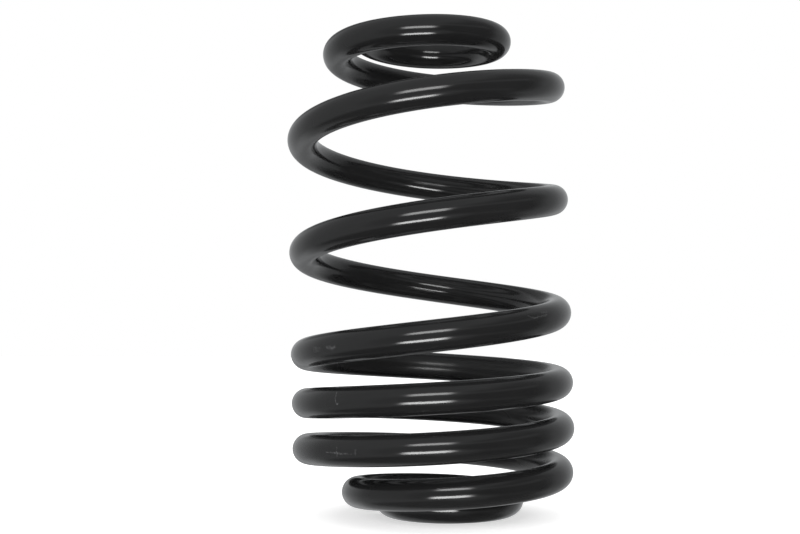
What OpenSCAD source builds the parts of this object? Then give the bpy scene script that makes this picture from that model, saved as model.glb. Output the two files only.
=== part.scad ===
// Barrel-shaped compression spring, wound from one length of round wire.
// The lower turns lie close together, the upper turns are open, and a small coil at each end sits in a spring seat.
// +Z is up along the spring. The origin is the centre of the foot coil, on the surface that the spring stands on.
// Places along the wire are counted in turns from the foot's tip. The wire climbs anticlockwise as seen from above,
// so the spring is right-handed.

/* [Wire] */
// Diameter of the wire over its coating
wire_d = 15; // [13:0.5:15.5]
// Turns from one cut end to the other
turns = 8; // [7.9:0.02:8.1]
// Chamfer round each cut end
end_chamfer = 0.8; // [0.4:0.1:1.5]

/* [Body] */
// Mean diameter of the full-width coils
body_d = 126.5; // [122:0.5:140]
// Rise of one close turn
close_pitch = 22.6; // [21:0.2:26]
// Rise of one open turn
open_pitch = 56.9; // [45:0.1:65]
// Place where the turns begin to open
open_start = 3.62; // [3.2:0.02:4]
// Turns that the change of pitch takes
open_ease = 1.07; // [0.6:0.01:1.4]
// Sideways shift of the head against the foot, from the winding's tolerance
lean = 5; // [0:0.5:8]

/* [Foot] */
// Mean diameter of the foot coil
foot_d = 78; // [76:0.5:82]
// Place where the foot coil begins to widen
foot_turns = 1.04; // [1:0.02:1.1]
// Turns that the widening takes
foot_flare = 0.54; // [0.5:0.02:0.6]
// Turns of the foot coil that lie flat on the seat
foot_flat = 0.35; // [0.3:0.01:0.4]
// Turns in which the rise grows to the close pitch
foot_rise = 1.07; // [0.95:0.01:1.15]
// How far the foot's tip is tucked in
foot_tuck = 17; // [16:0.5:18]
// Turns in which the foot's tip is tucked in
foot_tuck_turns = 0.66; // [0.6:0.02:0.7]
// Bearing of the foot's tip round the axis, from +X
foot_bearing = 173.5; // [0:0.5:359.5]

/* [Head] */
// Mean diameter of the head coil
head_d = 73.5; // [70:0.5:80]
// Turns of the head coil at its small diameter
head_turns = 0.7; // [0.6:0.02:0.72]
// Turns that the narrowing takes
head_taper = 0.78; // [0.7:0.02:0.82]
// Rise of the head coil in one turn
head_pitch = 8.3; // [7.5:0.1:12]
// Turns of the head coil at that low rise
head_level = 0.79; // [0.6:0.01:0.8]
// Turns in which the open pitch falls to it
head_ease = 0.75; // [0.6:0.01:0.9]
// How far the head's tip is tucked in
head_tuck = 5.5; // [5:0.5:12]
// Turns in which the head's tip is tucked in
head_tuck_turns = 0.4; // [0.3:0.02:0.5]

/* [Fineness] */
// Corners of the wire's section
wire_corners = 16; // [8:4:16]
// Sections of the wire in one turn
sections_per_turn = 44; // [24:4:44]

/* [Hidden] */
black_coat = [0.13, 0.13, 0.14];
wire_r = wire_d / 2;
head_start = turns - head_turns - head_taper;
head_fall = turns - head_level - head_ease;
cut_turns = end_chamfer / (PI * foot_d);
sections = round(turns * sections_per_turn);

// Smooth step from 0 to 1
function ease(u) = let (v = min(max(u, 0), 1)) v * v * (3 - 2 * v);

// Area under the smooth step from 0 to u
function ease_area(u) = let (v = min(max(u, 0), 1)) v * v * v * (1 - v / 2) + max(u - 1, 0);

// Extra height at a place where the pitch changes by this much, from a start and over some turns
function climb(place, change, start, over) = change * over * ease_area((place - start) / over);

// Height of the wire's centre
function height_at(place) =
    wire_r
    + climb(place, close_pitch, foot_flat, foot_rise)
    + climb(place, open_pitch - close_pitch, open_start, open_ease)
    + climb(place, head_pitch - open_pitch, head_fall, head_ease);

// Distance of the wire's centre from the axis
function radius_at(place) =
    body_d / 2
    - (body_d - foot_d) / 2 * (1 - ease((place - foot_turns) / foot_flare))
    - (body_d - head_d) / 2 * ease((place - head_start) / head_taper)
    - foot_tuck * (1 - ease(place / foot_tuck_turns))
    - head_tuck * (1 - ease((turns - place) / head_tuck_turns));

rise = height_at(turns) - wire_r;

// Point on the wire's centre line
function point_at(place) =
    let (bearing = foot_bearing + 360 * place, r = radius_at(place), z = height_at(place))
    [r * cos(bearing) - lean * (z - wire_r) / rise, r * sin(bearing), z];

function unit(v) = v / norm(v);

// Corners of the wire's section, at right angles to the centre line
function section_at(place, r) =
    let (
        step = 0.001,
        along = unit(point_at(place + step) - point_at(place - step)),
        inward = unit(cross([0, 0, 1], along)),
        up = cross(along, inward),
        centre = point_at(place)
    )
    [for (i = [0 : wire_corners - 1])
        let (a = 360 * i / wire_corners)
        centre + r * (cos(a) * inward + sin(a) * up)];

// Tube through a list of sections, closed by a flat cut at each end
module sweep(rings) {
    n = wire_corners;
    last = (len(rings) - 1) * n;
    walls = [for (k = [0 : len(rings) - 2], i = [0 : n - 1])
        let (a = k * n + i, b = k * n + (i + 1) % n)
        each [[a, a + n, b], [b, a + n, b + n]]];
    foot_cut = [for (i = [0 : n - 1]) i];
    head_cut = [for (i = [n - 1 : -1 : 0]) last + i];
    polyhedron([for (ring = rings) each ring], concat([foot_cut, head_cut], walls));
}

// The one piece of wire
module spring() {
    color(black_coat)
        sweep([
            section_at(0, wire_r - end_chamfer),
            for (k = [0 : sections])
                section_at(cut_turns + (turns - 2 * cut_turns) * k / sections, wire_r),
            section_at(turns, wire_r - end_chamfer)
        ]);
}

spring();
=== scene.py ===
"""A barrel-shaped helical spring in gloss black coating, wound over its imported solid, in a pale studio."""

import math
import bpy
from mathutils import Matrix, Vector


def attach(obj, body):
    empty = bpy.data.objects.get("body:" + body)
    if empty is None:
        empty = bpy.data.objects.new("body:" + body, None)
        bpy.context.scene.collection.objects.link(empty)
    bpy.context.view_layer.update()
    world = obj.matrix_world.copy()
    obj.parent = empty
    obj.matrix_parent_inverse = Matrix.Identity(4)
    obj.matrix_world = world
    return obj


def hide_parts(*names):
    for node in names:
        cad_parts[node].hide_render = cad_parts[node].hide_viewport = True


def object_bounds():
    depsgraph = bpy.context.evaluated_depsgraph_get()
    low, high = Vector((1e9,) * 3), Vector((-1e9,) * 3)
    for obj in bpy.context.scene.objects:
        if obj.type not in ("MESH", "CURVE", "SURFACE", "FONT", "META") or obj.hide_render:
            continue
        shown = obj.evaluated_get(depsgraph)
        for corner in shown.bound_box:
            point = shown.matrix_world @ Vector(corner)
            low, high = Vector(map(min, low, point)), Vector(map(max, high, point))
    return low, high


bl_info = {
    "name": "Helical Spring",
    "version": (1, 0, 0),
    "blender": (4, 5, 0),
    "location": "3D View > Sidebar > Spring",
    "description": "Winds a coated barrel spring from its sizes and sets the studio round it",
    "category": "Add Mesh",
}

import bpy
from bpy.props import FloatProperty, FloatVectorProperty, IntProperty, PointerProperty
from mathutils import Vector

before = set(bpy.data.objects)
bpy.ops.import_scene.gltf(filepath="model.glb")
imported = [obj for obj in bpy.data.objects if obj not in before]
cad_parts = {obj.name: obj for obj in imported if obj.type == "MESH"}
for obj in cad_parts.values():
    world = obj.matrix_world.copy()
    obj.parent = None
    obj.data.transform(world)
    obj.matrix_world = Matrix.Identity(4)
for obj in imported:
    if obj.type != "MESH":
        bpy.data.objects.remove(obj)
CAD_LOW, CAD_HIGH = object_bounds()

NODE = "spring"
PIECE = "wound_wire"
UNWOUND = "unwound"  # Attribute with each point's place on the straight wire
FULL_TURN = 2 * math.pi
WHITE = (1.0, 1.0, 1.0, 1.0)

# Texture of the coating, in metres along and across the straight wire
LINE_SPACING, LINE_STRETCH = 0.0016, 30.0
GRAIN_SIZE, GRAIN_DEPTH = 0.0012, 0.000006
MOTTLE_SIZE, MOTTLE_STRETCH, MOTTLE = 0.008, 5.0, 0.07
GLOSS_PATCH, GLOSS_STRETCH, GLOSS_CHANGE = 0.02, 3.0, 0.15
THIN_FADES, THIN_ENDS = 1.30, 1.55
SCUFF_BENDS = 900.0  # In a metre
SCUFF_STRAY = 0.0012
SCUFF_PATCH = 0.0011
SCUFF_FAINTEST = 0.35
SCUFF_EDGE = 0.6  # Part of its width
SCUFF_ROUGHNESS = 0.4

# Scuffs of the coating: width in millimetres, strength, and the places that each runs through. A place is
# a length along the wire from the foot's tip, in millimetres, and degrees round the wire, downwards from
# its outer side.
SCUFFS = (
    (1.0, 0.30, ((236.9, -65), (237.5, -89))),
    (0.9, 0.20, ((236.9, -65), (242.5, -55))),
    (0.8, 0.30, ((622.4, 1), (628.8, 3))),
    (0.6, 0.40, ((628.7, -17), (628.8, -4), (628.9, 14))),
    (1.3, 0.38, ((628.9, 3), (629.4, 5))),
    (1.2, 0.27, ((629.4, 4), (632.0, 6))),
    (1.2, 0.27, ((632.8, 5), (634.8, 6))),
    (0.7, 0.10, ((634.8, 6), (637.0, 7))),
    (1.2, 0.15, ((638.7, -9), (638.5, 9))),
    (0.6, 0.33, ((1025.9, -43), (1026.5, -30), (1026.5, -19), (1026.7, -8), (1027.1, 1))),
    (1.2, 0.60, ((1027.5, 3), (1027.7, 3))),
    (2.2, 0.11, ((1411.3, -1), (1415.6, 1))),
    (1.6, 0.09, ((1411.4, 9), (1414.7, 9))),
    (2.0, 0.20, ((1420.4, 1), (1421.2, 2))),
    (2.2, 0.28, ((1422.0, 3), (1423.6, 7))),
    (1.9, 0.28, ((1423.4, 6), (1424.8, 3))),
    (1.1, 0.15, ((1513.9, -33), (1515.4, -25), (1517.6, -19), (1518.9, -22), (1521.1, -23), (1526.1, -25))),
    (1.1, 0.12, ((1523.1, -37), (1526.8, -34))),
)

# The room that the gloss mirrors. Bearings are in degrees from straight towards the camera, positive to its
# right, then comes the elevation. A patch fades in between two cosines of the angle from its middle.
ROOM_LIGHT = 0.35
ROOM_TINT = (0.98, 1.0, 1.015, 1.0)
FAR_GLOWS = (  # Bearing, elevation, faint, full, brightness
    (-150, 0, 0.65, 1.0, 0.21),
    (160, 2, 0.75, 1.0, 0.185),
)
DARK_PATCHES = (  # Bearing, elevation, faint, full, share of the far light that is left
    (58, -8, 0.50, 0.84, 0.08),
    (-20, -2, 0.80, 0.97, 0.6),
    (-166, 34, 0.91, 0.975, 0.4),
    (90, 34, 0.84, 1.0, 0.3),
    (-177, -8, 0.93, 0.99, 0.55),
    (0, -90, 0.52, 0.72, 0.12),
)
NEAR_GLOWS = (  # As the far ones, and not darkened
    (-148, -52, 0.85, 1.0, 0.35),
    (20, -32, 0.90, 1.0, 0.22),
)
LEVEL_BANDS = (  # Bearing, elevation, half height in degrees, brightness
    (58, 25, 9, 0.25),
    (50, -25, 9, 0.12),
)
BAND_FAINT, BAND_FULL = 0.72, 0.93

# Strip lamps: name, place, width, height and radiance
LAMPS = (
    ("upper strip", (-0.0150, -0.420, 0.294), 0.325, 0.10, 7.2),
    ("lower strip", (-0.0165, -0.445, -0.100), 0.368, 0.10, 14.9),
)
LAMP_AIM = 0.09  # Height on the spring
LAMP_FADE = 0.24  # Part of the width, at each end

FLOOR_SIZE = 8.0
FLOOR_COLOUR = (0.8, 0.8, 0.8, 1.0)
FLOOR_LIFT = 0.6  # Added for the camera, so that the floor reads white
# Strength of the floor's faint glow round the spring, seen only in the gloss: a painted reflection
FLOOR_GLOW_IN_GLOSS = 0.13
FLOOR_GLOW_FADES, FLOOR_GLOW_ENDS = 0.05, 0.11  # Distance from the spring's axis


# Sizes, finish and studio

class WireSizes(bpy.types.PropertyGroup):
    """Sizes of the wire and of its winding. Places along it are in turns from the foot's tip."""

    wire_diameter: FloatProperty(
        name="Wire Diameter",
        description="Diameter of the wire over its coating",
        default=0.015,
        subtype="DISTANCE",
    )
    turns: FloatProperty(
        name="Turns",
        description="Turns from one cut end to the other",
        default=8.0,
    )
    end_round: FloatProperty(
        name="End Round",
        description="Radius of the rounded edge of each cut end",
        default=0.0008,
        subtype="DISTANCE",
    )
    body_diameter: FloatProperty(
        name="Body Diameter",
        description="Mean diameter of the full-width coils",
        default=0.1265,
        subtype="DISTANCE",
    )
    close_pitch: FloatProperty(
        name="Close Pitch",
        description="Rise of one close turn",
        default=0.0226,
        subtype="DISTANCE",
    )
    open_pitch: FloatProperty(
        name="Open Pitch",
        description="Rise of one open turn",
        default=0.0569,
        subtype="DISTANCE",
    )
    open_start: FloatProperty(
        name="Open Start",
        description="Place where the turns begin to open",
        default=3.62,
    )
    open_ease: FloatProperty(
        name="Open Ease",
        description="Turns that the change of pitch takes",
        default=1.07,
    )
    lean: FloatProperty(
        name="Lean",
        description="Sideways shift of the head against the foot",
        default=0.005,
        subtype="DISTANCE",
    )
    foot_diameter: FloatProperty(
        name="Foot Diameter",
        description="Mean diameter of the foot coil",
        default=0.078,
        subtype="DISTANCE",
    )
    foot_turns: FloatProperty(
        name="Foot Turns",
        description="Place where the foot coil begins to widen",
        default=1.04,
    )
    foot_flare: FloatProperty(
        name="Foot Flare",
        description="Turns that the widening takes",
        default=0.54,
    )
    foot_flat: FloatProperty(
        name="Foot Flat",
        description="Turns of the foot coil that lie flat on the seat",
        default=0.35,
    )
    foot_rise: FloatProperty(
        name="Foot Rise",
        description="Turns in which the rise grows to the close pitch",
        default=1.07,
    )
    foot_tuck: FloatProperty(
        name="Foot Tuck",
        description="How far the foot's tip is tucked in",
        default=0.017,
        subtype="DISTANCE",
    )
    foot_tuck_turns: FloatProperty(
        name="Foot Tuck Turns",
        description="Turns in which the foot's tip is tucked in",
        default=0.66,
    )
    foot_bearing: FloatProperty(
        name="Foot Bearing",
        description="Bearing of the foot's tip round the axis, from +X",
        default=math.radians(173.5),
        subtype="ANGLE",
    )
    head_diameter: FloatProperty(
        name="Head Diameter",
        description="Mean diameter of the head coil",
        default=0.0735,
        subtype="DISTANCE",
    )
    head_turns: FloatProperty(
        name="Head Turns",
        description="Turns of the head coil at its small diameter",
        default=0.7,
    )
    head_taper: FloatProperty(
        name="Head Taper",
        description="Turns that the narrowing takes",
        default=0.78,
    )
    head_pitch: FloatProperty(
        name="Head Pitch",
        description="Rise of the head coil in one turn",
        default=0.0083,
        subtype="DISTANCE",
    )
    head_level: FloatProperty(
        name="Head Level",
        description="Turns of the head coil at that low rise",
        default=0.79,
    )
    head_ease: FloatProperty(
        name="Head Ease",
        description="Turns in which the open pitch falls to it",
        default=0.75,
    )
    head_tuck: FloatProperty(
        name="Head Tuck",
        description="How far the head's tip is tucked in",
        default=0.0055,
        subtype="DISTANCE",
    )
    head_tuck_turns: FloatProperty(
        name="Head Tuck Turns",
        description="Turns in which the head's tip is tucked in",
        default=0.4,
    )
    sections: IntProperty(
        name="Sections",
        description="Sections of the wire in one turn",
        default=150,
    )
    corners: IntProperty(
        name="Corners",
        description="Corners of the wire's round section",
        default=60,
    )
    edge_rows: IntProperty(
        name="Edge Rows",
        description="Rows of faces in the rounded edge of each cut end",
        default=5,
    )


class CoatFinish(bpy.types.PropertyGroup):
    """Colour and surface of the coating."""

    colour: FloatVectorProperty(
        name="Colour",
        description="Colour of the coating",
        default=(0.0205, 0.0206, 0.0209),
        subtype="COLOR",
        size=3,
    )
    scuff_colour: FloatVectorProperty(
        name="Scuff Colour",
        description="Colour of the coating where it is scuffed",
        default=(0.30, 0.30, 0.31),
        subtype="COLOR",
        size=3,
    )
    scuffing: FloatProperty(
        name="Scuffing",
        description="How plainly the scuffs show",
        default=1.0,
        subtype="FACTOR",
    )
    roughness: FloatProperty(
        name="Roughness",
        description="Roughness of the clean coating",
        default=0.13,
        subtype="FACTOR",
    )
    inner_roughness: FloatProperty(
        name="Inner Roughness",
        description="How much rougher the inner side of the close turns is, which the spray reaches least",
        default=0.14,
        subtype="FACTOR",
    )
    peel_size: FloatProperty(
        name="Peel Size",
        description="Distance from one ripple of the coating to the next",
        default=0.005,
        subtype="DISTANCE",
    )
    peel_depth: FloatProperty(
        name="Peel Depth",
        description="Depth of the coating's ripples",
        default=0.000013,
        subtype="DISTANCE",
    )
    draw_depth: FloatProperty(
        name="Draw Depth",
        description="Depth of the faint lines along the wire, from its drawing",
        default=0.000005,
        subtype="DISTANCE",
    )


class Studio(bpy.types.PropertyGroup):
    """Camera and the backdrop's brightness."""

    camera_place: FloatVectorProperty(
        name="Camera Place",
        description="Where the camera stands",
        default=(0.01083, -0.63086, 0.09121),
        subtype="XYZ",
        unit="LENGTH",
        size=3,
    )
    camera_rise: FloatProperty(
        name="Camera Rise",
        description="How far the camera looks up from level",
        default=math.radians(3.04),
        subtype="ANGLE",
    )
    camera_turn: FloatProperty(
        name="Camera Turn",
        description="How far the camera looks to the left of straight ahead",
        default=math.radians(2.56),
        subtype="ANGLE",
    )
    lens: FloatProperty(
        name="Lens",
        description="Focal length in millimetres, on a sensor 36 mm wide",
        default=55.96,
    )
    backdrop: FloatProperty(
        name="Backdrop",
        description="Brightness of the white backdrop",
        default=1.0,
        subtype="FACTOR",
    )


# Building node trees

class Bench:
    """Builds one node tree. Each call adds a node, feeds its inputs and gives back an output."""

    column_width = 220
    row_height = 180

    def __init__(self, tree):
        self.tree = tree

    def node(self, kind, inputs=None, **settings):
        made = self.tree.nodes.new(kind)
        for name, value in settings.items():
            setattr(made, name, value)
        for name, value in (inputs or {}).items():
            self.feed(made.inputs[name], value)
        return made

    def feed(self, socket, value):
        if isinstance(value, bpy.types.NodeSocket):
            self.tree.links.new(value, socket)
        else:
            socket.default_value = value

    def maths(self, operation, *values):
        made = self.node("ShaderNodeMath", dict(enumerate(values)), operation=operation)
        return made.outputs[0]

    def vector_maths(self, operation, *values, output="Vector"):
        made = self.node("ShaderNodeVectorMath", dict(enumerate(values)), operation=operation)
        return made.outputs[output]

    def scaled(self, vector, factor):
        made = self.node("ShaderNodeVectorMath", {0: vector, "Scale": factor}, operation="SCALE")
        return made.outputs["Vector"]

    def total(self, first, *others):
        for other in others:
            first = self.maths("ADD", first, other)
        return first

    def blend(self, value, start, end, low=0.0, high=1.0, smooth=True):
        """low before start, high after end, and a smooth step between them."""
        inputs = {"Value": value, "From Min": start, "From Max": end, "To Min": low, "To Max": high}
        step = "SMOOTHSTEP" if smooth else "LINEAR"
        return self.node("ShaderNodeMapRange", inputs, interpolation_type=step).outputs["Result"]

    def mix(self, factor, first, second):
        return self.node("ShaderNodeMix", {"Factor": factor, 2: first, 3: second}).outputs[0]

    def mix_colour(self, factor, first, second):
        return self.node("ShaderNodeMix", {"Factor": factor, 6: first, 7: second}, data_type="RGBA").outputs[2]

    def combine(self, x, y, z):
        return self.node("ShaderNodeCombineXYZ", {"X": x, "Y": y, "Z": z}).outputs[0]

    def group(self, tree, inputs):
        kind = "GeometryNodeGroup" if tree.bl_idname == "GeometryNodeTree" else "ShaderNodeGroup"
        return self.node(kind, inputs, node_tree=tree).outputs[0]

    def arrange(self):
        """Sets each node to the right of all that feed it."""
        column = {}

        def depth(node):
            if node.name not in column:
                feeding = [link.from_node for socket in node.inputs for link in socket.links]
                column[node.name] = 1 + max(map(depth, feeding), default=-1)
            return column[node.name]

        rows = {}
        for node in self.tree.nodes:
            place = depth(node)
            row = rows.get(place, 0)
            rows[place] = row + 1
            node.location = (self.column_width * place, -self.row_height * row)


def socket_kind(prop):
    return "NodeSocketInt" if prop.type == "INT" else "NodeSocketFloat"


def add_socket(tree, name, kind, default=None, direction="INPUT", subtype=None):
    made = tree.interface.new_socket(name, in_out=direction, socket_type=kind)
    if subtype in ("DISTANCE", "ANGLE", "FACTOR"):
        made.subtype = subtype
    if default is not None:
        made.default_value = default
    return made


def own_properties(group):
    return [p for p in group.bl_rna.properties if p.identifier not in ("rna_type", "name")]


# The wound wire

def climb_tree():
    """Node group: height gained by a place through one smooth change of pitch."""
    tree = bpy.data.node_groups.new("Climb", "GeometryNodeTree")
    for name in ("Place", "Change", "Start", "Over"):
        add_socket(tree, name, "NodeSocketFloat", 0.0)
    add_socket(tree, "Height", "NodeSocketFloat", direction="OUTPUT")
    bench = Bench(tree)
    given = bench.node("NodeGroupInput").outputs
    run = bench.maths("DIVIDE", bench.maths("SUBTRACT", given["Place"], given["Start"]), given["Over"])
    eased = bench.maths("MINIMUM", bench.maths("MAXIMUM", run, 0.0), 1.0)
    curved = bench.maths("SUBTRACT", 1.0, bench.maths("MULTIPLY", eased, 0.5))
    cube = bench.maths("POWER", eased, 3.0)
    straight = bench.maths("MAXIMUM", bench.maths("SUBTRACT", run, 1.0), 0.0)
    area = bench.maths("ADD", bench.maths("MULTIPLY", cube, curved), straight)
    reach = bench.maths("MULTIPLY", given["Change"], given["Over"])
    bench.node("NodeGroupOutput", {"Height": bench.maths("MULTIPLY", reach, area)})
    bench.arrange()
    return tree


def rise_tree():
    """Node group: height of the wire's centre above the foot's centre, at a place."""
    tree = bpy.data.node_groups.new("Rise", "GeometryNodeTree")
    names = ("Place", "Turns", "Close Pitch", "Open Pitch", "Head Pitch", "Foot Flat", "Foot Rise",
             "Open Start", "Open Ease", "Head Level", "Head Ease")
    for name in names:
        add_socket(tree, name, "NodeSocketFloat", 0.0)
    add_socket(tree, "Height", "NodeSocketFloat", direction="OUTPUT")
    bench = Bench(tree)
    given = bench.node("NodeGroupInput").outputs
    climb = climb_tree()

    def part(change, start, over):
        return bench.group(climb, {"Place": given["Place"], "Change": change, "Start": start, "Over": over})

    head = bench.maths("ADD", given["Head Level"], given["Head Ease"])
    fall = bench.maths("SUBTRACT", given["Turns"], head)
    opening = bench.maths("SUBTRACT", given["Open Pitch"], given["Close Pitch"])
    closing = bench.maths("SUBTRACT", given["Head Pitch"], given["Open Pitch"])
    height = bench.total(
        part(given["Close Pitch"], given["Foot Flat"], given["Foot Rise"]),
        part(opening, given["Open Start"], given["Open Ease"]),
        part(closing, fall, given["Head Ease"]),
    )
    bench.node("NodeGroupOutput", {"Height": height})
    bench.arrange()
    return tree


def end_rows(bench, given, count):
    """Places of the sections along the wire, and what the rounded edges of the cut ends take off its radius."""
    index = bench.node("GeometryNodeInputIndex").outputs[0]
    last = bench.maths("SUBTRACT", count, 1.0)
    from_head = bench.maths("SUBTRACT", last, index)
    rows = given["Edge Rows"]
    nearest = bench.maths("MINIMUM", index, from_head)
    quarter = bench.blend(nearest, 0.0, rows, 0.0, math.pi / 2, smooth=False)
    rounding = bench.maths("SUBTRACT", 1.0, bench.maths("SINE", quarter))
    left_off = bench.maths("MULTIPLY", given["End Round"], rounding)
    foot_round = bench.maths("MULTIPLY", given["Foot Diameter"], math.pi)
    edge_turns = bench.maths("DIVIDE", given["End Round"], foot_round)
    inner = bench.blend(
        index, rows, bench.maths("SUBTRACT", last, rows),
        edge_turns, bench.maths("SUBTRACT", given["Turns"], edge_turns), smooth=False,
    )
    outward = bench.maths("MULTIPLY", edge_turns, bench.maths("COSINE", quarter))
    side = bench.maths("SIGN", bench.maths("SUBTRACT", index, from_head))
    place = bench.maths("ADD", inner, bench.maths("MULTIPLY", side, outward))
    return place, left_off


def distance_from_axis(bench, given, place):
    """Distance of the wire's centre from the spring's axis."""
    foot, body, head = (bench.maths("MULTIPLY", given[name], 0.5)
                        for name in ("Foot Diameter", "Body Diameter", "Head Diameter"))
    foot_tuck, head_tuck = (bench.maths("MULTIPLY", given[name], -1.0) for name in ("Foot Tuck", "Head Tuck"))
    foot_end = bench.maths("ADD", given["Foot Turns"], given["Foot Flare"])
    to_head = bench.maths("SUBTRACT", given["Turns"], place)
    taper_end = bench.maths("ADD", given["Head Turns"], given["Head Taper"])
    return bench.total(
        bench.blend(place, given["Foot Turns"], foot_end, foot, body),
        bench.blend(to_head, given["Head Turns"], taper_end, bench.maths("SUBTRACT", head, body), 0.0),
        bench.blend(place, 0.0, given["Foot Tuck Turns"], foot_tuck, 0.0),
        bench.blend(to_head, 0.0, given["Head Tuck Turns"], head_tuck, 0.0),
    )


def centre_line(bench, given, place):
    """Points of the wire's centre line."""
    rise = rise_tree()
    names = [item.name for item in rise.interface.items_tree if item.in_out == "INPUT"]
    sizes = {name: given[name] for name in names if name != "Place"}
    height = bench.group(rise, {"Place": place, **sizes})
    whole = bench.group(rise, {"Place": given["Turns"], **sizes})
    spread = distance_from_axis(bench, given, place)
    bearing = bench.maths("MULTIPLY_ADD", place, FULL_TURN, given["Foot Bearing"])
    leaning = bench.maths("MULTIPLY", given["Lean"], bench.maths("DIVIDE", height, whole))
    x, y = (bench.maths("MULTIPLY", spread, bench.maths(turn, bearing)) for turn in ("COSINE", "SINE"))
    z = bench.maths("MULTIPLY_ADD", given["Wire Diameter"], 0.5, height)
    return bench.combine(bench.maths("SUBTRACT", x, leaning), y, z)


def store(bench, geometry, name, value, kind):
    """Geometry with this value kept on its points."""
    inputs = {"Geometry": geometry, "Name": name, "Value": value}
    return bench.node("GeometryNodeStoreNamedAttribute", inputs, data_type=kind).outputs["Geometry"]


def stored(bench, name, kind):
    """Value that was kept under this name."""
    return bench.node("GeometryNodeInputNamedAttribute", {"Name": name}, data_type=kind).outputs["Attribute"]


def winding_tree(sizes):
    """Geometry node tree: the wire, swept along its centre line, with its place when straight on each point."""
    tree = bpy.data.node_groups.new("Wind Wire", "GeometryNodeTree")
    add_socket(tree, "Geometry", "NodeSocketGeometry")
    for prop in own_properties(sizes):
        add_socket(tree, prop.name, socket_kind(prop), prop.default, subtype=prop.subtype)
    add_socket(tree, "Coating", "NodeSocketMaterial")
    add_socket(tree, "Geometry", "NodeSocketGeometry", direction="OUTPUT")

    bench = Bench(tree)
    given = bench.node("NodeGroupInput").outputs
    edges = bench.maths("MULTIPLY", given["Edge Rows"], 2.0)
    count = bench.maths("MULTIPLY_ADD", given["Turns"], given["Sections"], edges)
    line = bench.node("GeometryNodeCurvePrimitiveLine").outputs["Curve"]
    line = bench.node("GeometryNodeResampleCurve", {"Curve": line, "Count": count}).outputs["Curve"]
    size = bench.node("GeometryNodeAttributeDomainSize", {0: line}, component="CURVE").outputs["Point Count"]
    place, left_off = end_rows(bench, given, size)
    points = centre_line(bench, given, place)
    line = bench.node("GeometryNodeSetPosition", {"Geometry": line, "Position": points}).outputs[0]
    line = bench.node("GeometryNodeSetCurveNormal", {"Curve": line}, mode="Z_UP").outputs[0]
    length = bench.node("GeometryNodeSplineParameter").outputs["Length"]
    line = store(bench, line, "along", length, "FLOAT")
    radius = bench.maths("SUBTRACT", bench.maths("MULTIPLY", given["Wire Diameter"], 0.5), left_off)
    line = store(bench, line, "wire_radius", radius, "FLOAT")

    ring = bench.node("GeometryNodeCurvePrimitiveCircle", {"Resolution": given["Corners"], "Radius": 1.0})
    corner = bench.node("GeometryNodeInputPosition").outputs[0]
    ring = store(bench, ring.outputs["Curve"], "round", corner, "FLOAT_VECTOR")

    reach = stored(bench, "wire_radius", "FLOAT")
    sweep = {"Curve": line, "Profile Curve": ring, "Scale": reach, "Fill Caps": True}
    wire = bench.node("GeometryNodeCurveToMesh", sweep).outputs["Mesh"]
    across = bench.scaled(stored(bench, "round", "FLOAT_VECTOR"), reach)
    turned = bench.node("ShaderNodeSeparateXYZ", {0: across}).outputs
    straight = bench.combine(stored(bench, "along", "FLOAT"), turned["X"], turned["Y"])
    wire = store(bench, wire, UNWOUND, straight, "FLOAT_VECTOR")
    for used in ("along", "wire_radius", "round"):
        wire = bench.node("GeometryNodeRemoveAttribute", {"Geometry": wire, "Name": used}).outputs[0]

    sides = bench.node("GeometryNodeInputMeshFaceNeighbors").outputs["Vertex Count"]
    wall = bench.maths("LESS_THAN", sides, 5.0)
    wire = bench.node("GeometryNodeSetShadeSmooth", {"Geometry": wire, "Shade Smooth": wall}).outputs[0]
    wire = bench.node("GeometryNodeRealizeInstances", {"Geometry": wire}).outputs[0]
    wire = bench.node("GeometryNodeSetMaterial", {"Geometry": wire, "Material": given["Coating"]}).outputs[0]
    bench.node("NodeGroupOutput", {"Geometry": wire})
    bench.arrange()
    return tree


def wind(sizes, coating):
    """Mesh object of the wound wire, with its tree already applied."""
    piece = bpy.data.objects.new(PIECE, bpy.data.meshes.new("start"))
    bpy.context.scene.collection.objects.link(piece)
    tree = winding_tree(sizes)
    winding = piece.modifiers.new("Wind Wire", "NODES")
    winding.node_group = tree
    sockets = {item.name: item.identifier for item in tree.interface.items_tree if item.in_out == "INPUT"}
    for prop in own_properties(sizes):
        winding[sockets[prop.name]] = getattr(sizes, prop.identifier)
    winding[sockets["Coating"]] = coating
    reader = bpy.context.evaluated_depsgraph_get()
    mesh = bpy.data.meshes.new_from_object(
        piece.evaluated_get(reader), preserve_all_data_layers=True, depsgraph=reader
    )
    mesh.name = PIECE
    piece.modifiers.clear()
    piece.data = mesh
    return piece


# The coating

def surface_coordinates(bench):
    """The point's place on the straight wire: length along it, then across it, in metres."""
    return bench.node("ShaderNodeAttribute", attribute_name=UNWOUND).outputs["Vector"]


def noise(bench, coordinates, size, detail=2.0, stretch=1.0):
    """Soft noise whose blobs are about this size, and longer along the wire by the stretch."""
    scaled = bench.vector_maths("MULTIPLY", coordinates, (1 / stretch, 1.0, 1.0))
    inputs = {"Vector": scaled, "Scale": 1 / size, "Detail": detail}
    return bench.node("ShaderNodeTexNoise", inputs).outputs["Fac"]


def on_wire(along, angle, radius):
    """Point on the straight wire's surface, in metres, at a length in millimetres and degrees round it."""
    turn = math.radians(angle)
    return (along / 1000, radius * math.cos(turn), radius * math.sin(turn))


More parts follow.
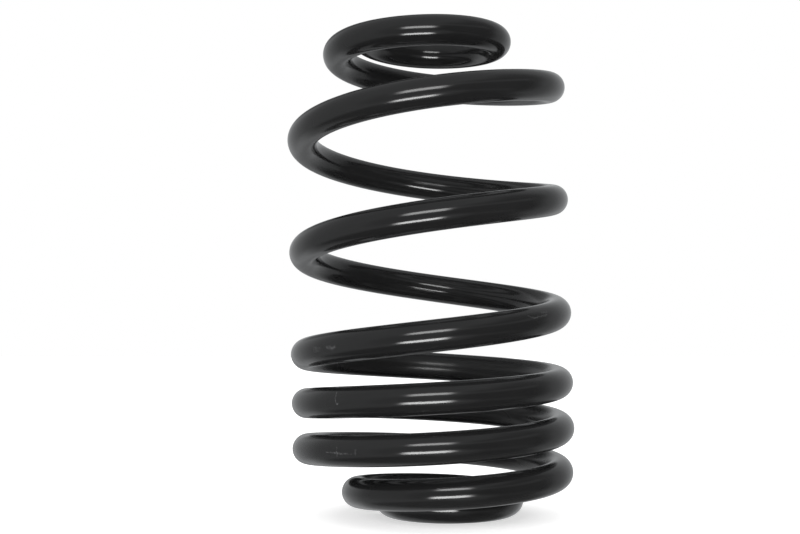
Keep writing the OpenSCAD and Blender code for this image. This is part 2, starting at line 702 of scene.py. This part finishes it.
def scuff_tree():
    """Shader node group: how much of a scuff between two points of the straight wire shows here."""
    tree = bpy.data.node_groups.new("Scuff", "ShaderNodeTree")
    for name in ("Place", "From", "To"):
        add_socket(tree, name, "NodeSocketVector")
    add_socket(tree, "Width", "NodeSocketFloat", 0.0005)
    add_socket(tree, "Strength", "NodeSocketFloat", 0.5)
    add_socket(tree, "Mask", "NodeSocketFloat", direction="OUTPUT")
    bench = Bench(tree)
    given = bench.node("NodeGroupInput").outputs
    bends = bench.node("ShaderNodeTexNoise", {"Vector": given["Place"], "Scale": SCUFF_BENDS, "Detail": 1.0})
    to_sides = bench.vector_maths("SUBTRACT", bends.outputs["Color"], (0.5, 0.5, 0.5))
    wandered = bench.vector_maths("ADD", given["Place"], bench.scaled(to_sides, SCUFF_STRAY))
    reach = bench.vector_maths("SUBTRACT", wandered, given["From"])
    run = bench.vector_maths("SUBTRACT", given["To"], given["From"])
    passed = bench.vector_maths("DOT_PRODUCT", reach, run, output="Value")
    whole = bench.vector_maths("DOT_PRODUCT", run, run, output="Value")
    share = bench.blend(bench.maths("DIVIDE", passed, whole), 0.0, 1.0, smooth=False)
    nearest = bench.scaled(run, share)
    off = bench.vector_maths("LENGTH", bench.vector_maths("SUBTRACT", reach, nearest), output="Value")
    patches = noise(bench, given["Place"], SCUFF_PATCH, detail=3.0)
    strength = bench.maths("MULTIPLY", given["Strength"], bench.blend(patches, 0.35, 0.65, SCUFF_FAINTEST, 1.0))
    edge = bench.maths("MULTIPLY", given["Width"], SCUFF_EDGE)
    bench.node("NodeGroupOutput", {"Mask": bench.blend(off, 0.0, edge, strength, 0.0)})
    bench.arrange()
    return tree


def scuff_mask(bench, place, scuffing, radius):
    """Mask of all the scuffs."""
    tree = scuff_tree()
    mask = 0.0
    for width, strength, places in SCUFFS:
        for start, end in zip(places, places[1:]):
            scuff = bench.group(tree, {
                "Place": place,
                "From": on_wire(*start, radius),
                "To": on_wire(*end, radius),
                "Width": width / 1000,
                "Strength": strength * scuffing,
            })
            mask = bench.maths("MAXIMUM", mask, scuff)
    return mask


def thin_spray(bench, place, radius):
    """Mask of the inner side of the close turns, which the spray reaches least."""
    parts = bench.node("ShaderNodeSeparateXYZ", {0: place}).outputs
    inside = bench.blend(parts["Y"], -0.1 * radius, -0.8 * radius)
    close = bench.blend(parts["X"], THIN_FADES, THIN_ENDS, 1.0, 0.0)
    return bench.maths("MULTIPLY", inside, close)


def coat_material(finish, radius):
    """Gloss black coating with the shallow ripple of sprayed paint, the wire's drawn lines and its scuffs."""
    material = bpy.data.materials.new("Black coat")
    material.use_nodes = True
    tree = material.node_tree
    tree.nodes.clear()
    bench = Bench(tree)
    place = surface_coordinates(bench)
    worn = scuff_mask(bench, place, finish.scuffing, radius)
    thin = thin_spray(bench, place, radius)

    normal = None
    for depth, height in (
        (finish.peel_depth, noise(bench, place, finish.peel_size, detail=1.0)),
        (finish.draw_depth, noise(bench, place, LINE_SPACING, stretch=LINE_STRETCH)),
        (GRAIN_DEPTH, bench.maths("MULTIPLY", thin, noise(bench, place, GRAIN_SIZE))),
    ):
        below = {"Normal": normal} if normal else {}
        bump = bench.node("ShaderNodeBump", {"Distance": depth, "Height": height, **below})
        normal = bump.outputs["Normal"]

    shade = bench.blend(noise(bench, place, MOTTLE_SIZE, stretch=MOTTLE_STRETCH), 0.3, 0.7)
    darker, lighter = ((*(share * level for level in finish.colour), 1.0) for share in (1 - MOTTLE, 1 + MOTTLE))
    colour = bench.mix_colour(worn, bench.mix_colour(shade, darker, lighter), (*finish.scuff_colour, 1.0))

    smoother, rougher = (finish.roughness * share for share in (1 - GLOSS_CHANGE, 1 + GLOSS_CHANGE))
    clean = bench.blend(noise(bench, place, GLOSS_PATCH, stretch=GLOSS_STRETCH), 0.3, 0.7, smoother, rougher)
    dulled = bench.maths("MULTIPLY_ADD", thin, finish.inner_roughness, clean)
    roughness = bench.maths("MULTIPLY_ADD", worn, SCUFF_ROUGHNESS, dulled)

    looks = {"Base Color": colour, "Roughness": roughness, "IOR": 1.5, "Normal": normal}
    coat = bench.node("ShaderNodeBsdfPrincipled", looks)
    bench.node("ShaderNodeOutputMaterial", {"Surface": coat.outputs["BSDF"]})
    bench.arrange()
    return material


# The studio

def floor_material():
    """Pale matt floor that reads white to the camera and takes a shadow. The gloss sees through it, and near
    the spring it glows faintly there: a painted reflection.
    """
    material = bpy.data.materials.new("Pale floor")
    material.use_nodes = True
    tree = material.node_tree
    tree.nodes.clear()
    bench = Bench(tree)
    path = bench.node("ShaderNodeLightPath").outputs
    matt = bench.node("ShaderNodeBsdfDiffuse", {"Color": FLOOR_COLOUR})
    to_camera = bench.maths("MULTIPLY", path["Is Camera Ray"], FLOOR_LIFT)
    lift = bench.node("ShaderNodeEmission", {"Strength": to_camera})
    seen = bench.node("ShaderNodeAddShader", {0: matt.outputs[0], 1: lift.outputs[0]})

    # Near the spring the floor glows faintly for glossy rays only: a painted reflection in the spring's lower
    # side
    place = bench.node("ShaderNodeTexCoord").outputs["Object"]
    distance = bench.vector_maths("LENGTH", place, output="Value")
    near = bench.blend(distance, FLOOR_GLOW_FADES, FLOOR_GLOW_ENDS, FLOOR_GLOW_IN_GLOSS, 0.0)
    glow = bench.node("ShaderNodeEmission", {"Strength": near})
    lamp_below = bench.node("ShaderNodeBsdfTransparent")
    mirrored = bench.node("ShaderNodeAddShader", {0: lamp_below.outputs[0], 1: glow.outputs[0]})

    parts = {0: path["Is Glossy Ray"], 1: seen.outputs[0], 2: mirrored.outputs[0]}
    floor = bench.node("ShaderNodeMixShader", parts)
    bench.node("ShaderNodeOutputMaterial", {"Surface": floor.outputs[0]})
    bench.arrange()
    return material


def lay_floor():
    """Floor under the spring. It casts no shadow, because the lower lamp hangs below it."""
    half = FLOOR_SIZE / 2
    mesh = bpy.data.meshes.new("floor")
    corners = [(-half, -half), (half, -half), (half, half), (-half, half)]
    mesh.from_pydata([(x, y, CAD_LOW.z) for x, y in corners], [], [(0, 1, 2, 3)])
    mesh.materials.append(floor_material())
    floor = bpy.data.objects.new("floor", mesh)
    bpy.context.scene.collection.objects.link(floor)
    floor.visible_shadow = False


def mirrored_room(bench, towards):
    """Brightness of the room in this direction: far glows, darkened in patches, then near glows and bands."""

    def facing(bearing, elevation):
        turn, lift = math.radians(bearing), math.radians(elevation)
        middle = (math.sin(turn) * math.cos(lift), -math.cos(turn) * math.cos(lift), math.sin(lift))
        return bench.vector_maths("DOT_PRODUCT", towards, middle, output="Value")

    def patch(bearing, elevation, faint, full, level, around=0.0):
        return bench.blend(facing(bearing, elevation), faint, full, around, level)

    height = bench.node("ShaderNodeSeparateXYZ", {0: towards}).outputs["Z"]

    def level_band(bearing, elevation, half, brightness):
        low, middle, high = (math.sin(math.radians(elevation + step)) for step in (-half, 0, half))
        rising = bench.blend(height, low, middle)
        falling = bench.blend(height, middle, high, brightness, 0.0)
        across = patch(bearing, elevation, BAND_FAINT, BAND_FULL, 1.0)
        return bench.maths("MULTIPLY", across, bench.maths("MULTIPLY", rising, falling))

    room = bench.total(*(patch(*glow) for glow in FAR_GLOWS), ROOM_LIGHT)
    for dark in DARK_PATCHES:
        room = bench.maths("MULTIPLY", room, patch(*dark, around=1.0))
    near = [patch(*glow) for glow in NEAR_GLOWS]
    return bench.total(room, *near, *(level_band(*band) for band in LEVEL_BANDS))


def set_world(studio):
    """White backdrop to the camera, soft even light on the surface, and the room that the gloss mirrors."""
    world = bpy.data.worlds.new("Studio")
    bpy.context.scene.world = world
    world.use_nodes = True
    world.node_tree.nodes.clear()
    bench = Bench(world.node_tree)
    path = bench.node("ShaderNodeLightPath").outputs
    towards = bench.node("ShaderNodeTexCoord").outputs["Generated"]
    light = bench.mix(path["Is Diffuse Ray"], mirrored_room(bench, towards), 1.0)
    light = bench.mix(path["Is Camera Ray"], light, studio.backdrop)
    tint = bench.mix_colour(path["Is Glossy Ray"], WHITE, ROOM_TINT)
    back = bench.node("ShaderNodeBackground", {"Color": tint, "Strength": light})
    bench.node("ShaderNodeOutputWorld", {"Surface": back.outputs[0]})
    bench.arrange()


def hang_lamp(name, place, width, height, radiance, aim):
    """Flat lamp turned to a point, fading at its ends. Only the gloss shows it."""
    lamp = bpy.data.lights.new(name, "AREA")
    lamp.shape = "RECTANGLE"
    lamp.size, lamp.size_y = width, height
    lamp.energy = radiance * math.pi * width * height
    lamp.use_nodes = True
    lamp.node_tree.nodes.clear()
    bench = Bench(lamp.node_tree)
    spot = bench.node("ShaderNodeNewGeometry").outputs["Parametric"]
    across = bench.node("ShaderNodeSeparateXYZ", {0: spot}).outputs[0]
    from_middle = bench.maths("ABSOLUTE", bench.maths("SUBTRACT", across, 0.5))
    from_end = bench.maths("SUBTRACT", 0.5, from_middle)
    glow = bench.node("ShaderNodeEmission", {"Strength": bench.blend(from_end, 0.0, LAMP_FADE)})
    bench.node("ShaderNodeOutputLight", {"Surface": glow.outputs[0]})
    bench.arrange()
    holder = bpy.data.objects.new(name, lamp)
    bpy.context.scene.collection.objects.link(holder)
    holder.location = place
    holder.rotation_euler = (Vector(aim) - Vector(place)).to_track_quat("-Z", "Y").to_euler()
    holder.visible_camera = False
    holder.visible_diffuse = False


def set_camera(studio):
    """Camera at the photograph's viewing angle."""
    camera = bpy.data.cameras.new("camera")
    camera.sensor_width = 36.0
    camera.lens = studio.lens
    holder = bpy.data.objects.new("camera", camera)
    bpy.context.scene.collection.objects.link(holder)
    holder.location = studio.camera_place
    holder.rotation_euler = (math.pi / 2 + studio.camera_rise, 0.0, studio.camera_turn)
    bpy.context.scene.camera = holder


# Operators

class SPRING_OT_wind(bpy.types.Operator):
    """Wind the coated wire in place of the plain solid"""

    bl_idname = "spring.wind"
    bl_label = "Wind Wire"

    def execute(self, context):
        coating = coat_material(context.scene.coat_finish, context.scene.wire_sizes.wire_diameter / 2)
        piece = wind(context.scene.wire_sizes, coating)
        if not piece.data.polygons or UNWOUND not in piece.data.attributes:
            raise RuntimeError("the winding made no wire")
        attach(piece, "root")
        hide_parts(NODE)
        return {"FINISHED"}


class SPRING_OT_set_stage(bpy.types.Operator):
    """Lay the floor, hang the lamps and set the camera"""

    bl_idname = "spring.set_stage"
    bl_label = "Set Stage"

    def execute(self, context):
        studio = context.scene.studio
        context.scene.view_settings.view_transform = "Standard"
        lay_floor()
        set_world(studio)
        aim = ((CAD_LOW.x + CAD_HIGH.x) / 2, 0.0, LAMP_AIM)
        for lamp in LAMPS:
            hang_lamp(*lamp, aim)
        set_camera(studio)
        return {"FINISHED"}


class SPRING_PT_panel(bpy.types.Panel):
    """Sizes, finish and studio of the spring"""

    bl_idname = "SPRING_PT_panel"
    bl_label = "Helical Spring"
    bl_space_type = "VIEW_3D"
    bl_region_type = "UI"
    bl_category = "Spring"

    def draw(self, context):
        scene = context.scene
        for group in (scene.wire_sizes, scene.coat_finish, scene.studio):
            box = self.layout.box()
            for prop in own_properties(group):
                box.prop(group, prop.identifier)
        self.layout.operator(SPRING_OT_wind.bl_idname)
        self.layout.operator(SPRING_OT_set_stage.bl_idname)


CLASSES = (WireSizes, CoatFinish, Studio, SPRING_OT_wind, SPRING_OT_set_stage, SPRING_PT_panel)


def register():
    for cls in CLASSES:
        bpy.utils.register_class(cls)
    bpy.types.Scene.wire_sizes = PointerProperty(type=WireSizes)
    bpy.types.Scene.coat_finish = PointerProperty(type=CoatFinish)
    bpy.types.Scene.studio = PointerProperty(type=Studio)


def unregister():
    del bpy.types.Scene.studio
    del bpy.types.Scene.coat_finish
    del bpy.types.Scene.wire_sizes
    for cls in reversed(CLASSES):
        bpy.utils.unregister_class(cls)


def main():
    register()
    bpy.ops.spring.wind()
    bpy.ops.spring.set_stage()


if __name__ == "__main__":
    main()
